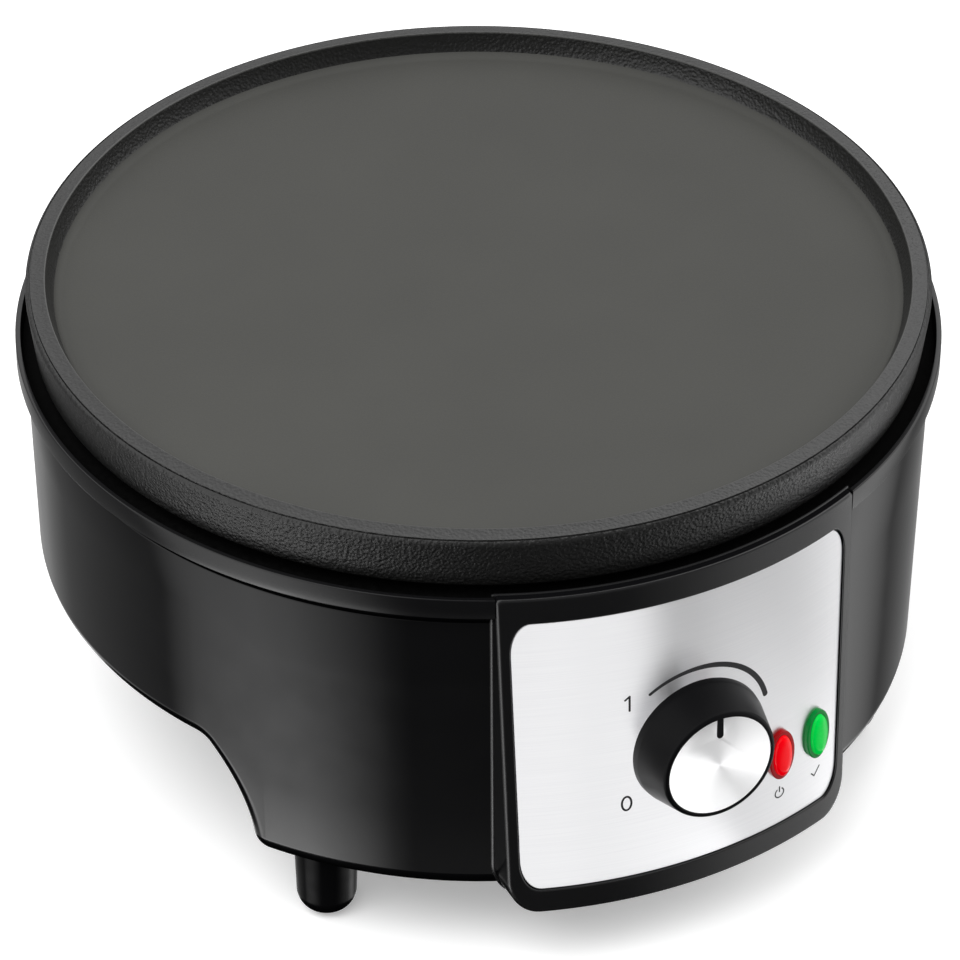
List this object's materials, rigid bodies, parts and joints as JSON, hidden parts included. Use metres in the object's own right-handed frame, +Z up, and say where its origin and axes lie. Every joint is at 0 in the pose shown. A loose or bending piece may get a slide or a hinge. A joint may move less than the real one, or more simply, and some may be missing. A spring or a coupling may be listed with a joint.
{
  "type": "electric crepe maker",
  "caption": "Round electric crepe griddle with a raised rim on a black moulded housing with a brushed control panel, turning thermostat knob, indicator lenses and peg feet.",
  "frame": {"origin": "On the table under the middle of the part's bounding box; the griddle's axis stands 10.67 mm behind it.", "axes": "+Z up, the control panel and knob face -Y, +X to the right seen from the front."},
  "size_m": [0.3288, 0.35, 0.187],
  "materials": {
    "cast_griddle": "non-stick coated casting, fine pebble on the rim, satin cooking surface",
    "black_housing": "high-gloss black moulding",
    "black_satin": "satin black moulding",
    "brushed_fascia": "finely brushed, light",
    "spun_aluminium": "spun face with circular grain",
    "red_lens": "moulded clear red, glossy",
    "green_lens": "moulded clear green, glossy",
    "sheet_steel": "plain rolled sheet",
    "zinc_screws": "bright zinc plate",
    "element_sheath": "oxidised steel sheath",
    "ceramic": "unglazed steatite",
    "copper": "drawn copper",
    "brass_parts": "stamped brass",
    "phenolic": "moulded thermoset",
    "pale_nylon": "moulded nylon",
    "rubber_pad": "soft black rubber",
    "lamp_glass": "clear glass with a warm glow",
    "brown_sleeve": "silicone lead sleeve",
    "white_sleeve": "woven glass sleeve",
    "red_sleeve": "PVC lead sleeve",
    "black_nylon": "black nylon"
  },
  "bodies": {
    "housing": {"griddle_plate": "cast_griddle", "heating_element": "element_sheath", "element_insulators": "ceramic", "element_tabs": "sheet_steel", "element_clamps": "sheet_steel", "clamp_screws": "zinc_screws", "sensing_bulb": "copper", "bulb_clip": "sheet_steel", "thermal_fuse": "ceramic", "fuse_clip": "sheet_steel", "clip_screws": "zinc_screws", "capillary_tube": "copper", "heat_shield": "sheet_steel", "insulating_washers": "ceramic", "plate_screws": "zinc_screws", "top_ring": "black_satin", "ring_screws": "zinc_screws", "body_shell": "black_housing", "base_cover": "black_satin", "base_screws": "zinc_screws", "panel_frame": "black_housing", "panel_screws": "zinc_screws", "panel_fascia": "brushed_fascia", "thermostat_body": "phenolic", "thermostat_tabs": "brass_parts", "thermostat_screws": "zinc_screws", "red_lens": "red_lens", "green_lens": "green_lens", "neon_lamps": "lamp_glass", "lens_clips": "sheet_steel", "front_left_foot": "black_housing", "front_right_foot": "black_housing", "rear_foot": "black_housing", "foot_pads": "rubber_pad", "foot_screws": "zinc_screws", "terminal_block": "pale_nylon", "terminal_screws": "brass_parts", "cord_gland": "black_nylon", "gland_nut": "black_nylon", "earth_tab": "brass_parts", "earth_screw": "zinc_screws", "supply_leads": "brown_sleeve", "heater_leads": "white_sleeve", "lamp_leads": "red_sleeve"},
    "knob": {"knob_grip": "black_satin", "knob_disc": "spun_aluminium", "knob_pointer": "black_satin", "knob_spring": "sheet_steel", "thermostat_spindle": "zinc_screws"}
  },
  "joints": [
    {"name": "knob_turn", "type": "hinge", "parent": "housing", "child": "knob", "pos_m": [0, -0.15632, 0.0945], "axis": [0, 0.999, -0.045], "range_deg": [-129, 130]}
  ]
}
